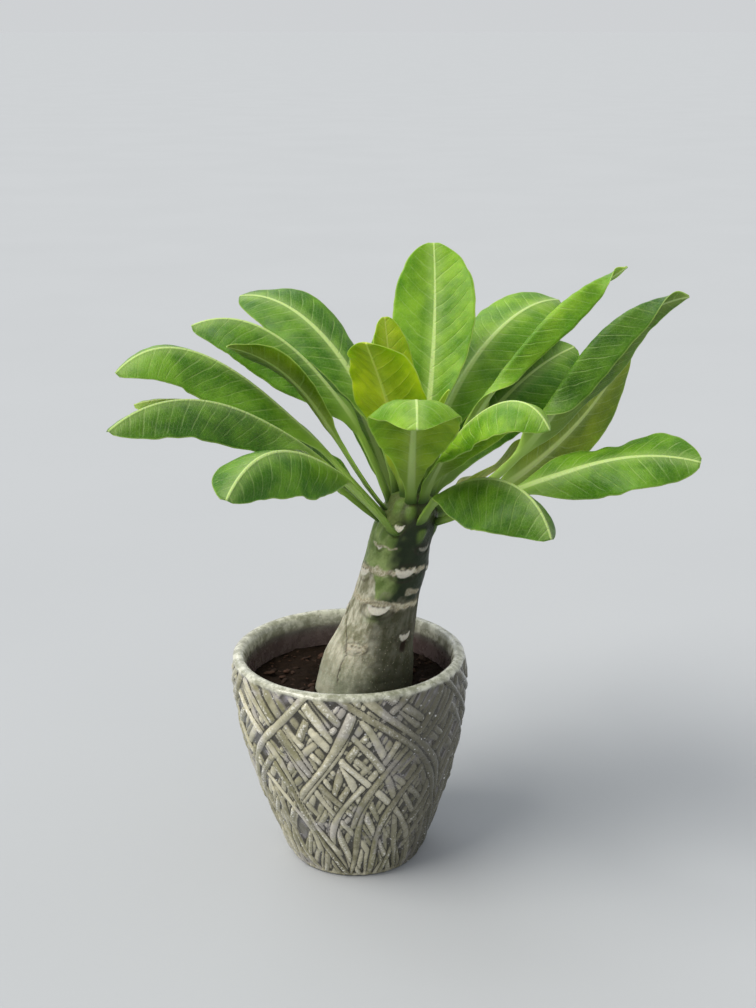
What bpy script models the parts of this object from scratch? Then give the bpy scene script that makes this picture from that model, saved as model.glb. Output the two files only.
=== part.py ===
"""Hawaiian palm in a glazed pot: a leaning succulent stem with a crown of broad leaves.

The origin is the centre of the pot's flat base, +Z is up, and the stem leans towards +X.
Sizes in the constants and tables below are in millimetres and degrees. MM turns them into metres.
"""
import random
from math import cos, pi, radians, sin

import bmesh
import bpy
import numpy as np

MM = 0.001
CLEARANCE = 0.3
SHARP_ANGLE = 50

# Pot: outer and inner wall as (radius, height), from the foot up and back down inside. By its
# rim the handmade pot leans POT_LEAN towards -X
POT_HEIGHT = 134
FOOT_RADIUS = 41
POT_LEAN = 4
POT_FOOT = [(FOOT_RADIUS - 1.5, 0), (FOOT_RADIUS, 1.2)]
POT_WALL = [
    (43, 4), (47.5, 14), (53, 30), (59, 47), (64.5, 65), (69, 85), (71.6, 103), (72.5, 116),
    (72.3, 127.5),
]
POT_LIP = [(71.6, 130.6), (69.8, 133), (67.4, POT_HEIGHT), (65, 133.2), (63.4, 130.8), (62.8, 127)]
POT_INSIDE = [(61.6, 112), (57.5, 66), (47, 30), (36, 12), (32, 8.5)]
STRANDS = 32
STRAND_ROWS = 12
ROW_CROWDING = 0.92
STRAND_WIDTH = 2.6
STRAND_RELIEF = 1.9
STRAND_DRIFT = 1.7
RELIEF_SEED = 7

# Soil: its top is a low, lumpy mound just under the inner edge of the lip
SOIL_TOP = 112
SOIL_RINGS = [0.88, 0.74, 0.58, 0.4, 0.2]
SOIL_MOUND = 1.5
SOIL_LUMP = 1.3
SOIL_SEED = 21

# Stem: (height, radius, lean towards +X), from the root end in the soil to the growing tip
STEM = [
    (53, 13, -9), (56, 19, -8.5), (71, 26, -5), (90, 29.5, 0), (103, 30, 4), (116, 29, 6),
    (129, 27.5, 8), (149, 23, 13.5), (166, 20.5, 18), (191, 19.5, 24.5), (206, 18.3, 27.5),
    (217, 17, 31), (227, 14.5, 33), (233, 9, 34), (235.5, 1.5, 34.5),
]
STEM_SIDES = 28
STEM_BARK_START = 103
STEM_BARK_END = 206
STEM_RING_STEP = 6
CROWN_HEIGHT = 235
CROWN_LEAN = 34
# Scars of fallen leaves: (direction round the stem, height, how far each stands out)
SCARS = [
    (262, 213, 1.0), (228, 206, 1.2), (268, 195, 1.3), (235, 191, 1.0), (316, 209, 1.0),
    (246, 176, 1.5), (312, 179, 1.0), (276, 163, 0.9), (215, 153, 1.6), (292, 145, 1.0),
    (90, 200, 1.2), (60, 185, 1.2), (130, 181, 1.2), (20, 171, 1.2), (165, 165, 1.0),
]
SCAR_WIDTH = 7
SCAR_TALL = 3.5

# Leaf blades: the stalk is nearly round, and the blade thins to its edge and its tip
STATIONS = 16
STATION_CROWDING = 0.92
SPAN = (-1, -0.5, 0, 0.5, 1)
FLAP_SPAN = (-1, -0.72, -0.5, -0.35, -0.2, 0, 0.5, 1)
MIDRIB_STEPS = 400
TANGENT_STEP = 0.02
ROOT_SINK = 2
ROOT_HALF_WIDTH = 4
ROOT_FLARE = 0.1
STALK_HALF_WIDTH = 3
STALK_THICK = 3.4
STALK_ROUNDING = 0.55
STALK_SHARE = 0.05
BLADE_FADE_IN = 0.25
BLADE_THICK = 1.0
RIB_THICK = 0.9
TIP_END = 0.996
TIP_HALF_WIDTH = 0.8
TIP_SQUARENESS = 2.1
TIP_FULLNESS = 0.55
# Folds and waves across the blade, as shares of its half width and its length
FOLD = (0.15, 0.7)
FLAP_FOLD = (0.2, 0.3)
FOLD_STEPS = 20
FOLD_WIDTH = 0.8
WAVE_TURNS = 2.4
WAVE_LAG = 2.1
WAVE_EDGE = 1.5
WAVE_TIP_FADE = 0.12
WAVE_TIP_LEFT = 0.3
NARROW_HALF_WIDTH = 10


def leaf(azimuth, reach, height, rise, depth, half_width, tone, **more):
    """One leaf of the crown.

    azimuth, reach and height place the tip from the crown's centre, and rise holds the slopes at
    the root and at the tip. depth is how far below the stem's tip the stalk grows. bank tilts the
    blade at the root and at the tip. left and right are the slopes of each half's inner and outer
    part across the blade, seen looking outwards from the stem. fold is where that slope starts to
    change and over how much of the half width, and span holds the places of the points across.
    stalk is the share of the length before the blade.
    """
    shape = {
        "azimuth": azimuth, "reach": reach, "height": height, "rise": rise, "depth": depth,
        "half_width": half_width, "tone": tone, "bank": (0, 0), "left": (12, 12),
        "right": (12, 12), "widest": 0.66, "taper": 1.3, "wave": 2.0, "phase": 0.5,
        "pull": (0.36, 0.36), "root_azimuth": azimuth, "tip_azimuth": azimuth,
        "stalk": STALK_SHARE, "fullness": TIP_FULLNESS, "fold": FOLD, "span": SPAN,
    }
    shape.update(more)
    return shape


LEAVES = [
    # Left side, from the back and highest to the front and lowest
    leaf(144, 131, 103, (78, -12), 6, 22, "mature", bank=(-15, -32), left=(0, -12),
         right=(-12, -20), widest=0.70, stalk=0.20, wave=1.5, phase=0.3),
    leaf(176, 129, 97, (73, -26), 10, 28, "mature", bank=(-15, -38), left=(-8, -35),
         right=(-50, -70), widest=0.66, stalk=0.28, taper=1.1, phase=1.0, root_azimuth=173),
    leaf(203, 112, 96, (50, 14), 13, 13, "olive", bank=(10, 30), left=(10, 20),
         right=(10, 10), widest=0.76, stalk=0.35, wave=1.0, phase=2.0, root_azimuth=196),
    leaf(199, 172, 83, (47, -46), 16.2, 28, "mature", bank=(-15, -34), left=(-8, -35),
         right=(-35, -55), widest=0.64, stalk=0.28, taper=1.1, phase=0.0, root_azimuth=209),
    leaf(193, 161, 61, (38, -14), 19, 22, "olive", bank=(-8, -18), left=(-5, -20),
         right=(-30, -45), widest=0.70, stalk=0.32, taper=1.1, phase=4.0, root_azimuth=192),
    leaf(219, 200, 69, (44, -32), 20, 28, "deep", bank=(-12, -32), left=(-5, -30),
         right=(-45, -60), widest=0.68, stalk=0.34, taper=1.1, wave=3.5, phase=1.5,
         root_azimuth=229),
    leaf(240, 187, 44, (38, -46), 24, 28, "mature", bank=(-14, -36), left=(-8, -50),
         right=(-35, -55), widest=0.68, stalk=0.38, taper=1.5, phase=3.0, root_azimuth=250),
    # Middle, with the young leaves round the growing tip
    leaf(77, 60, 139, (80, 60), 4, 26, "young", left=(10, 10), right=(10, 10), widest=0.71,
         taper=2.2, wave=1.5, root_azimuth=45, tip_azimuth=95),
    leaf(150, 19, 103, (86, 80), 2, 17, "bright", wave=1.0, root_azimuth=160, tip_azimuth=120),
    leaf(238, 50, 98, (82, 56), 4, 26, "bright", left=(10, 10), right=(10, 10)),
    leaf(270, 112, 66, (60, -60), 7, 29, "young", left=(0, -45), right=(0, -45), widest=0.72,
         taper=1.7, wave=1.5),
    leaf(308, 114, 60, (75, -62), 8, 28, "young", bank=(0, 8), left=(-25, -55),
         right=(-22, -45), widest=0.68, taper=1.2, wave=1.5, tip_azimuth=325),
    leaf(335, 23, 64, (82, 70), 1.5, 7, "bright", left=(20, 20), right=(20, 20), wave=0.5),
    # Right side
    leaf(52, 160, 92, (76, -10), 7, 26, "young", bank=(10, 25), left=(-10, -20),
         right=(-5, -20)),
    leaf(20, 138, 126, (60, 26), 7, 25, "young", bank=(-60, -80), left=(30, 60),
         right=(0, -140), widest=0.72, stalk=0.2, taper=1.6, fullness=1.3, fold=FLAP_FOLD, span=FLAP_SPAN),
    leaf(41, 140, 68, (43, 8), 12, 26, "mature", bank=(10, 25), left=(5, 0), right=(-10, -30),
         widest=0.68),
    leaf(4, 161, 114, (12, 6), 13, 31, "deep", bank=(-70, -75), left=(12, 30),
         right=(0, -145), widest=0.66, stalk=0.32, wave=1.5, pull=(0.38, 0.34), fullness=1.0,
         fold=FLAP_FOLD, span=FLAP_SPAN),
    leaf(18, 138, 77, (10, 62), 17, 26, "olive", bank=(-75, -80), right=(5, 5), widest=0.64,
         stalk=0.28),
    leaf(347, 167, 28, (20, -12), 20, 24, "mature", bank=(18, 34), left=(-10, -20),
         right=(-5, -30), widest=0.70, stalk=0.30, wave=4.0),
    leaf(303, 130, 6, (66, -66), 21, 34, "deep", bank=(-3, 7), left=(-40, -75),
         right=(-27, -55), widest=0.64, stalk=0.16, taper=1.4, pull=(0.36, 0.42)),
    leaf(37, 100, 6, (20, -4), 21, 22, "yellowing", bank=(-20, -45)),
    # Back
    leaf(98, 85, 84, (74, 40), 8, 20, "mature"),
    leaf(78, 138, 46, (48, -20), 15, 22, "deep", wave=2.5),
    leaf(118, 145, 54, (50, -15), 15, 23, "mature", wave=2.5, phase=2.5),
    leaf(158, 140, 30, (34, -15), 20, 22, "deep", wave=2.5, phase=1.5),
]

# Colours and roughness
LEAF_TONES = {
    "young": (0.24, 0.42, 0.06), "bright": (0.30, 0.40, 0.03), "mature": (0.15, 0.30, 0.05),
    "deep": (0.10, 0.22, 0.04), "olive": (0.20, 0.26, 0.03), "yellowing": (0.34, 0.33, 0.04),
}
LEAF_ROUGHNESS = 0.42
STEM_COLOUR = (0.20, 0.20, 0.11)
STEM_ROUGHNESS = 0.6
SOIL_COLOUR = (0.030, 0.018, 0.012)
SOIL_ROUGHNESS = 0.95
GLAZE_COLOUR = (0.32, 0.30, 0.22)
GLAZE_ROUGHNESS = 0.3


def clear_scene():
    for found in list(bpy.data.objects):
        bpy.data.objects.remove(found, do_unlink=True)


def new_collection(name):
    made = bpy.data.collections.new(name)
    bpy.context.scene.collection.children.link(made)
    return made


def new_material(name, colour, roughness):
    made = bpy.data.materials.new(name)
    made.use_nodes = True
    shader = made.node_tree.nodes["Principled BSDF"]
    shader.inputs["Base Color"].default_value = (*colour, 1)
    shader.inputs["Roughness"].default_value = roughness
    shader.inputs["Metallic"].default_value = 0
    return made


def place_mesh(name, mesh, collection, material=None):
    """An object for the mesh, shaded smooth with its sharp edges kept."""
    mesh.shade_smooth()
    mesh.set_sharp_from_angle(angle=radians(SHARP_ANGLE))
    if material:
        mesh.materials.append(material)
    made = bpy.data.objects.new(name, mesh)
    collection.objects.link(made)
    return made


def new_object(name, points, faces, collection, material=None):
    """An object from points in millimetres."""
    mesh = bpy.data.meshes.new(name)
    mesh.from_pydata([tuple(float(value) * MM for value in point) for point in points], [], faces)
    mesh.update()
    return place_mesh(name, mesh, collection, material)


def smooth_step(value):
    value = min(max(value, 0.0), 1.0)
    return value * value * (3 - 2 * value)


def heading(azimuth, rise=0):
    """Unit vector for a direction round the stem and a slope above the horizontal."""
    turn, slope = radians(azimuth), radians(rise)
    return np.array([cos(turn) * cos(slope), sin(turn) * cos(slope), sin(slope)])


def ring_faces(lower, upper, count):
    """Faces of the band between two rings of count points that start at these indices."""
    faces = []
    for step in range(count):
        after = (step + 1) % count
        faces.append((lower + step, lower + after, upper + after, upper + step))
    return faces


# Pot


def wall_radius(height):
    heights = [point[1] for point in POT_WALL]
    return float(np.interp(height, heights, [point[0] for point in POT_WALL]))


def pot_lean(height):
    return -POT_LEAN * height / POT_HEIGHT


def strand_crossings():
    """Rows of points where the strands of the woven relief cross, row after row up the wall.

    The rows lie closer together near the foot, where the wall is narrow. A seeded drift keeps
    the weave uneven, as if the strands were twigs. The first and the last row stay even.
    """
    draw = random.Random(RELIEF_SEED)
    bottom, top = POT_WALL[0][1], POT_WALL[-1][1]
    rows = []
    for row in range(STRAND_ROWS + 1):
        height = bottom + (top - bottom) * (row / STRAND_ROWS) ** ROW_CROWDING
        inner_row = 0 < row < STRAND_ROWS
        points = []
        for step in range(STRANDS):
            turn = 2 * pi * (step + 0.5 * (row % 2)) / STRANDS
            drift = STRAND_DRIFT if inner_row else 0
            level = height + draw.uniform(-drift, drift)
            radius = wall_radius(level)
            turn += draw.uniform(-drift, drift) / radius
            points.append((radius * cos(turn) + pot_lean(level), radius * sin(turn), level))
        rows.append(points)
    return rows


def turned_ring(radius, height, shift):
    return [
        (radius * cos(2 * pi * (step + shift) / STRANDS) + pot_lean(height),
         radius * sin(2 * pi * (step + shift) / STRANDS), height)
        for step in range(STRANDS)
    ]


def make_pot(collection):
    """One closed shell: foot, woven wall, rolled lip, inner wall and inner floor."""
    shift = 0.5 * (STRAND_ROWS % 2)
    rings = [turned_ring(radius, height, 0) for radius, height in POT_FOOT]
    rings += strand_crossings()
    rings += [turned_ring(radius, height, shift) for radius, height in POT_LIP + POT_INSIDE]
    mesh = bmesh.new()
    rows = [[mesh.verts.new([value * MM for value in point]) for point in ring] for ring in rings]
    first = len(POT_FOOT)
    last = first + STRAND_ROWS
    cells = []
    for row in range(len(rows) - 1):
        weave = first <= row < last
        for step in range(STRANDS):
            after = (step + 1) % STRANDS
            if not weave:
                mesh.faces.new((rows[row][step], rows[row][after],
                                rows[row + 1][after], rows[row + 1][step]))
                continue
            # Odd rows are half a step on, so a row's points lie between those of the next
            odd = (row - first) % 2
            right = rows[row + 1][after] if odd else rows[row + 1][step]
            if row == first:
                cells.append((rows[row][step], rows[row][after], right))
            if row + 1 == last:
                low = rows[row][step]
                edge = rows[row + 1]
                cells.append((low, edge[after], edge[step]) if odd else
                             (low, edge[step], edge[step - 1]))
            else:
                left = rows[row + 1][step] if odd else rows[row + 1][step - 1]
                cells.append((rows[row][step], right, rows[row + 2][step], left))
    recessed = [mesh.faces.new(cell) for cell in cells]
    mesh.faces.new(list(reversed(rows[0])))
    mesh.faces.new(rows[-1])
    mesh.normal_update()
    bmesh.ops.inset_individual(mesh, faces=recessed, thickness=STRAND_WIDTH / 2 * MM,
                               depth=-STRAND_RELIEF * MM, use_even_offset=True)
    data = bpy.data.meshes.new("pot")
    mesh.to_mesh(data)
    mesh.free()
    glaze = new_material("glaze", GLAZE_COLOUR, GLAZE_ROUGHNESS)
    return place_mesh("pot", data, collection, glaze)


# Stem


def stem_radius(height):
    return float(np.interp(height, [ring[0] for ring in STEM], [ring[1] for ring in STEM]))


def stem_lean(height):
    return float(np.interp(height, [ring[0] for ring in STEM], [ring[2] for ring in STEM]))


def scar_relief(azimuth, height):
    """How far the leaf scars lift the bark at this place."""
    lift = 0
    for scar_azimuth, scar_height, stand in SCARS:
        turn = radians((azimuth - scar_azimuth + 180) % 360 - 180)
        across = turn * stem_radius(scar_height) / SCAR_WIDTH
        along = (height - scar_height) / SCAR_TALL
        lift += stand * max(0, 1 - across * across - along * along)
    return lift


def make_stem(name, collection, extra=0, material=None):
    """The stem, or with extra the same shape grown outwards for cutting its neighbours."""
    heights = {float(ring[0]) for ring in STEM}
    heights.update(np.arange(STEM_BARK_START, STEM_BARK_END, STEM_RING_STEP, dtype=float))
    heights = sorted(heights)
    points = []
    for height in heights:
        # The two ends move out by the same clearance as the side
        end = -extra if height == heights[0] else extra if height == heights[-1] else 0
        for side in range(STEM_SIDES):
            azimuth = 360 * side / STEM_SIDES
            radius = stem_radius(height) + scar_relief(azimuth, height) + extra
            place = radius * heading(azimuth)
            points.append((place[0] + stem_lean(height), place[1], height + end))
    faces = []
    for ring in range(len(heights) - 1):
        faces += ring_faces(ring * STEM_SIDES, (ring + 1) * STEM_SIDES, STEM_SIDES)
    faces.append(tuple(reversed(range(STEM_SIDES))))
    top = (len(heights) - 1) * STEM_SIDES
    faces.append(tuple(range(top, top + STEM_SIDES)))
    return new_object(name, points, faces, collection, material)


# Soil


def make_soil(collection, hole_cutter):
    """Potting soil that fills the pot up to a lumpy top, with a plain hole for the stem."""
    draw = random.Random(SOIL_SEED)
    walls = [(radius - CLEARANCE, height) for radius, height in reversed(POT_INSIDE[1:])]
    walls[0] = (walls[0][0], walls[0][1] + CLEARANCE)
    rim = (POT_INSIDE[0][0] - CLEARANCE, POT_INSIDE[0][1])
    points = []
    for radius, height in walls + [rim]:
        points += turned_ring(radius, height, 0)
    for share in SOIL_RINGS:
        mound = SOIL_TOP + SOIL_MOUND * (1 - share)
        for x, y, z in turned_ring(rim[0] * share, mound, 0):
            points.append((x, y, z + draw.uniform(-SOIL_LUMP, SOIL_LUMP)))
    rings = len(points) // STRANDS
    faces = []
    for ring in range(rings - 1):
        faces += ring_faces(ring * STRANDS, (ring + 1) * STRANDS, STRANDS)
    faces.append(tuple(reversed(range(STRANDS))))
    middle = len(points)
    points.append((pot_lean(SOIL_TOP), 0, SOIL_TOP + SOIL_MOUND))
    inner = (rings - 1) * STRANDS
    for step in range(STRANDS):
        faces.append((inner + step, inner + (step + 1) % STRANDS, middle))
    earth = new_material("soil", SOIL_COLOUR, SOIL_ROUGHNESS)
    soil = new_object("soil", points, faces, collection, earth)
    cut(soil, hole_cutter)
    return soil


def cut(body, cutter):
    difference = body.modifiers.new("clearance", "BOOLEAN")
    difference.operation = "DIFFERENCE"
    difference.solver = "EXACT"
    difference.object = cutter


# Leaves


def midrib(shape):
    """Points along the middle of the leaf, evenly numbered, and each one's share of the length."""
    height = CROWN_HEIGHT - shape["depth"]
    inset = stem_radius(height) - ROOT_SINK
    root = np.array([stem_lean(height), 0, height]) + inset * heading(shape["root_azimuth"])
    tip = np.array([CROWN_LEAN, 0, CROWN_HEIGHT + shape["height"]])
    tip = tip + shape["reach"] * heading(shape["azimuth"])
    span = np.linalg.norm(tip - root)
    after_root = root + span * shape["pull"][0] * heading(shape["root_azimuth"], shape["rise"][0])
    before_tip = tip - span * shape["pull"][1] * heading(shape["tip_azimuth"], shape["rise"][1])
    t = np.linspace(0, 1, MIDRIB_STEPS)[:, None]
    curve = (root * (1 - t) ** 3 + 3 * after_root * (1 - t) ** 2 * t
             + 3 * before_tip * (1 - t) * t ** 2 + tip * t ** 3)
    lengths = np.concatenate([[0], np.cumsum(np.linalg.norm(np.diff(curve, axis=0), axis=1))])
    return curve, lengths / lengths[-1]


def point_at(curve, shares, share):
    return np.array([np.interp(share, shares, curve[:, axis]) for axis in range(3)])


def leaf_half_width(shape, share):
    """Half the blade's width: a narrow stalk, widest past the middle, then a round tip."""
    widest, stalk = shape["widest"], shape["stalk"]
    if share < widest:
        reached = max(0.0, (share - stalk) / (widest - stalk))
        grown = sin(pi / 2 * reached) ** shape["taper"]
        flare = (ROOT_HALF_WIDTH - STALK_HALF_WIDTH) * max(0.0, 1 - share / ROOT_FLARE)
        return STALK_HALF_WIDTH + flare + (shape["half_width"] - STALK_HALF_WIDTH) * grown
    past = (share - widest) / (1 - widest)
    rounded = (1 - past ** TIP_SQUARENESS) ** shape["fullness"]
    return max(shape["half_width"] * rounded, TIP_HALF_WIDTH)


def across_blade(shape, share, across, half_width, blade):
    """Sideways and upward offset of a point across the blade, from -1 to 1, and the slope there."""
    inner, outer = shape["left"] if across > 0 else shape["right"]
    # A narrow stretch can't fold as far as the wide middle of the blade
    outer = inner + (outer - inner) * smooth_step(half_width / (FOLD_WIDTH * shape["half_width"]))
    start, length = shape["fold"]

    def slope(place):
        bend = np.clip((place - start) / length, 0, 1)
        return np.radians(inner + (outer - inner) * bend * bend * (3 - 2 * bend)) * blade

    slopes = slope((np.arange(FOLD_STEPS) + 0.5) / FOLD_STEPS * abs(across))
    phase = shape["phase"] + (0 if across > 0 else WAVE_LAG)
    ripple = sin(2 * pi * WAVE_TURNS * share + phase) * abs(across) ** WAVE_EDGE
    ripple *= shape["wave"] * blade * smooth_step((1 - share) / WAVE_TIP_FADE + WAVE_TIP_LEFT)
    # The last stretch is too narrow for waves and for faces that turn with the fold
    room = smooth_step(half_width / NARROW_HALF_WIDTH)
    ripple *= room
    tilt = float(slope(abs(across))) * np.sign(across) * room
    sideways = half_width * across * np.cos(slopes).mean() - ripple * sin(tilt)
    lift = half_width * abs(across) * np.sin(slopes).mean() + ripple * cos(tilt)
    return sideways, lift, tilt


def leaf_frame(shape, curve, shares, share):
    """Place on the midrib, and the blade's sideways and upward directions there."""
    place = point_at(curve, shares, share)
    ahead = point_at(curve, shares, min(share + TANGENT_STEP, 1))
    along = ahead - point_at(curve, shares, max(share - TANGENT_STEP, 0))
    along /= np.linalg.norm(along)
    turn = shape["root_azimuth"] + (shape["tip_azimuth"] - shape["root_azimuth"]) * share
    side = heading(turn + 90)
    side = side - side.dot(along) * along
    side /= np.linalg.norm(side)
    up = np.cross(along, side)
    bank = radians(shape["bank"][0] + (shape["bank"][1] - shape["bank"][0]) * share)
    return place, side * cos(bank) + up * sin(bank), up * cos(bank) - side * sin(bank)


def leaf_ring(shape, curve, shares, share):
    """The loop of points round the leaf here: upper face right to left, then the lower face."""
    place, side, up = leaf_frame(shape, curve, shares, share)
    half_width = leaf_half_width(shape, share)
    blade = smooth_step((share - shape["stalk"]) / BLADE_FADE_IN)
    upper, lower = [], []
    for across in shape["span"]:
        sideways, lift, tilt = across_blade(shape, share, across, half_width, blade)
        rounding = STALK_ROUNDING * (1 - blade) * across * across
        thick = (1 - blade) * STALK_THICK * (1 - rounding)
        thick += blade * (BLADE_THICK + RIB_THICK * (1 - abs(across)) * (1 - share))
        middle = place + side * sideways + up * lift
        out = up * cos(tilt) - side * sin(tilt)
        upper.append(middle + out * thick / 2)
        lower.append(middle - out * thick / 2)
    return upper + lower[::-1]


def leaf_faces(width):
    """Triangles of the loft, width points across, both faces split alike so that none cross."""
    ring = 2 * width
    faces = []
    for station in range(STATIONS - 1):
        near, far = station * ring, (station + 1) * ring
        for step in range(ring):
            after = (step + 1) % ring
            corners = near + step, near + after, far + step, far + after
            if step < width:
                faces += [(corners[0], corners[2], corners[1]), (corners[1], corners[2], corners[3])]
            else:
                faces += [(corners[0], corners[2], corners[3]), (corners[0], corners[3], corners[1])]
    end = (STATIONS - 1) * ring
    for step in range(width - 1):
        # The two ends are closed between the upper and the lower face
        upper, upper_next, lower_next, lower = step, step + 1, ring - 2 - step, ring - 1 - step
        faces += [(upper, upper_next, lower_next), (upper, lower_next, lower)]
        faces += [(end + upper, end + lower_next, end + upper_next)]
        faces += [(end + upper, end + lower, end + lower_next)]
    return faces


def make_leaf(name, shape, collection, seat_cutter):
    """One leaf, its stalk cut to sit on the stem's side."""
    curve, shares = midrib(shape)
    points = []
    for share in TIP_END * np.linspace(0, 1, STATIONS) ** STATION_CROWDING:
        points += leaf_ring(shape, curve, shares, share)
    colour = LEAF_TONES[shape["tone"]]
    made = new_object(name, points, leaf_faces(len(shape["span"])), collection,
                      new_material(name, colour, LEAF_ROUGHNESS))
    cut(made, seat_cutter)
    return made


def build():
    clear_scene()
    parts = new_collection("potted_hawaiian_palm")
    cutters = new_collection("cutters")
    stem_room = make_stem("stem_room", cutters, extra=CLEARANCE)
    stem_room.hide_render = True
    stem_room.display_type = "WIRE"
    make_pot(parts)
    make_soil(parts, stem_room)
    make_stem("stem", parts, material=new_material("bark", STEM_COLOUR, STEM_ROUGHNESS))
    for number, shape in enumerate(LEAVES, start=1):
        make_leaf(f"leaf_{number:02d}", shape, parts, stem_room)


build()
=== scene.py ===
"""Looks of the potted Hawaiian palm: fine leaves, bark, soil, glaze, light and camera.

Sizes are in millimetres and degrees, as in the part's own source, and MM turns them into metres.
The leaf, stem and pot shapes repeat the part's formulas at a finer step, so that each piece keeps
the form of the node it replaces.
"""
import random
from math import cos, pi, radians, sin

import bpy
import numpy as np
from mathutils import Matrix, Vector


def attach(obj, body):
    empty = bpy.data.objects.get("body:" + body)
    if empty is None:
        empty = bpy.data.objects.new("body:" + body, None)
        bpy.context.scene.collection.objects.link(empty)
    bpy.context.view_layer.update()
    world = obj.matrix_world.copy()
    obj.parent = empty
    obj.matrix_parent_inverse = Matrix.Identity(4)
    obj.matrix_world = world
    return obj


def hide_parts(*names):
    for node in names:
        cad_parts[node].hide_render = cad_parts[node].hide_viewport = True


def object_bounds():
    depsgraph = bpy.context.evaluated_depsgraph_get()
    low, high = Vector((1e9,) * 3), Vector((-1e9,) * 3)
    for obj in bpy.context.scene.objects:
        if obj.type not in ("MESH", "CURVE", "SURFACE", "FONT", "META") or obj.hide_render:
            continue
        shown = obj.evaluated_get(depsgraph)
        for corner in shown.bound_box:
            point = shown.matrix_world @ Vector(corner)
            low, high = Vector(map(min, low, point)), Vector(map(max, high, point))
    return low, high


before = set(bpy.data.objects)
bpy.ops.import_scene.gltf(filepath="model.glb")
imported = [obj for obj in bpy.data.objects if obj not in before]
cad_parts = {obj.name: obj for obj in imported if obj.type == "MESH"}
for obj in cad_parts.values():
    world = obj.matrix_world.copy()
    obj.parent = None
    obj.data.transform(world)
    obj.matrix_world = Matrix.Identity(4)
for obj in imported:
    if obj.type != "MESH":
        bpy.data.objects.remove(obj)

MM = 0.001
FIELD_SIZE = 512
CAD_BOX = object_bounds()

# Camera: place, tilt and lens of the photo, worked out from the ellipses of the pot
CAMERA_PLACE = (14, -859, 497)
CAMERA_TILT = 17.45
PHOTO_HEIGHT = 1008
FOCAL_PIXELS = 1514
SENSOR = 36

# Studio: a soft sun from the upper left, a weaker one from behind, and an even pale surround
SUNS = [
    ("key", (-1.0, -0.5, 1.5), 3.1, 42, (1.0, 0.965, 0.88)),
    ("rim", (-0.5, 1.0, 0.9), 0.5, 40, (0.94, 0.97, 1.0)),
]
WORLD_COLOUR = (0.95, 0.975, 1.0)
WORLD_STRENGTH = 0.655
FLOOR_SPAN = 400000
FLOOR_COLOUR = (0.404, 0.419, 0.443)
FLOOR_CLOUD = 1.06

# Pot profile as (radius, height)
POT_HEIGHT = 134
POT_LEAN = 4
POT_FOOT = (39.5, 0)
POT_WALL = [
    (41, 1.2), (43, 4), (47.5, 14), (53, 30), (59, 47), (64.5, 65), (69, 85), (71.6, 103),
    (72.5, 116), (72.3, 127.5), (71.6, 130.6), (70.9, 132),
]
POT_LIP = [
    (69.8, 133), (68.6, 133.7), (67.4, POT_HEIGHT), (66.1, 133.8), (65, 133.2),
    (64.1, 132.2), (63.4, 130.8), (63, 129), (62.8, 127), (62.5, 123), (62.1, 118),
]
POT_INSIDE = [(61.6, 112), (57.5, 66), (47, 30), (36, 12), (32, 8.5)]
POT_SIDES = 540
WALL_ROWS = 148
LIP_DEPTH = 9
INSIDE_DEPTH = 24
# Bumps round a wall: (how many round it, height of each, seed), and how far they stand out
GLAZE_BUMPS, GLAZE_LUMP = (96, 4.5, 3), 0.2
LIP_BUMPS, LIP_WAVER = (40, 12, 5), 0.25

# Woven relief of the pot's wall. A pair is the foot's and the rim's value, or least and most
RELIEF = 2.6
RELIEF_FADE = 2.4
RELIEF_LIMIT = 1.2
RELIEF_SEED = 7
STRAND_HALF_WIDTH = (1.9, 3.2)
STRAND_SLANT = (13, 43)
SLANT_GROWTH = 1.15
SLANT_SPREAD = (0.78, 1.2)
SWAY, SWAY_LENGTH = 0.08, (14, 24)
SWELL, SWELL_LENGTH = 0.14, (5, 9)
WEAVE, WEAVE_LENGTH = 0.4, 34
LEVEL_SPREAD = (0.75, 1.0)
END_TAPER = 7
BELOW_WALL, ABOVE_WALL = -20, 160
UNDER_STRANDS, UNDER_LEVEL, UNDER_WIDTH = 84, 0.6, (0.9, 1.15)
SHORT_STRANDS, SHORT_WIDTH = 90, (0.7, 0.95)
SHORT_START, SHORT_LENGTH = (-6, 90), (26, 52)
STRAND_PAIRS, PAIR_GAP, PAIR_WIDTH = 21, 0.27, (0.86, 1.04)
PAIR_STARTS = (BELOW_WALL, BELOW_WALL, BELOW_WALL, 18, 40)
PAIR_ENDS = (ABOVE_WALL, ABOVE_WALL, ABOVE_WALL, 112, 88)
STRAND_ROUNDNESS, STRAND_EDGE = 0.6, 0.05
STRAND_REACH, STRAND_FADE = 1.05, 0.12
CREASE_PASSES = 14
CREASE_PLACE, CREASE_HALF_WIDTH, CREASE_DEPTH = 1.05, 0.3, 0.5

# Soil, and the chips of bark on it: sizes in millimetres, or as shares of a chip's length
SOIL_TOP = 112
SOIL_GAP = 0.3
SOIL_MOUND = 1.5
SOIL_DIP = 4
SOIL_DIP_REACH = 9
SOIL_RIM = 61.3
SOIL_SIDES = 260
SOIL_RINGS = 74
SOIL_CRUMB = 1.5
# Crumbs by size: (size, place in the random field, seed, weight)
SOIL_CRUMBS = ((7, 100, 31, 0.55), (2.8, 100, 32, 0.45), (1.1, 200, 33, 0.2))
BARK_BITS = 230
BITS_SEED = 21
STEM_CLEARANCE, RIM_CLEARANCE = 1.5, 2.5
LARGE_SHARE, LARGE_LENGTH, SMALL_LENGTH = 0.28, (2.4, 5.2), (0.8, 2.0)
CHIP_BREADTH, CHIP_HEIGHT, CHIP_LIFT = (0.35, 0.6), (0.18, 0.35), 0.14
CHIP_SIDES, CHIP_RINGS = 7, 5

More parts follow.
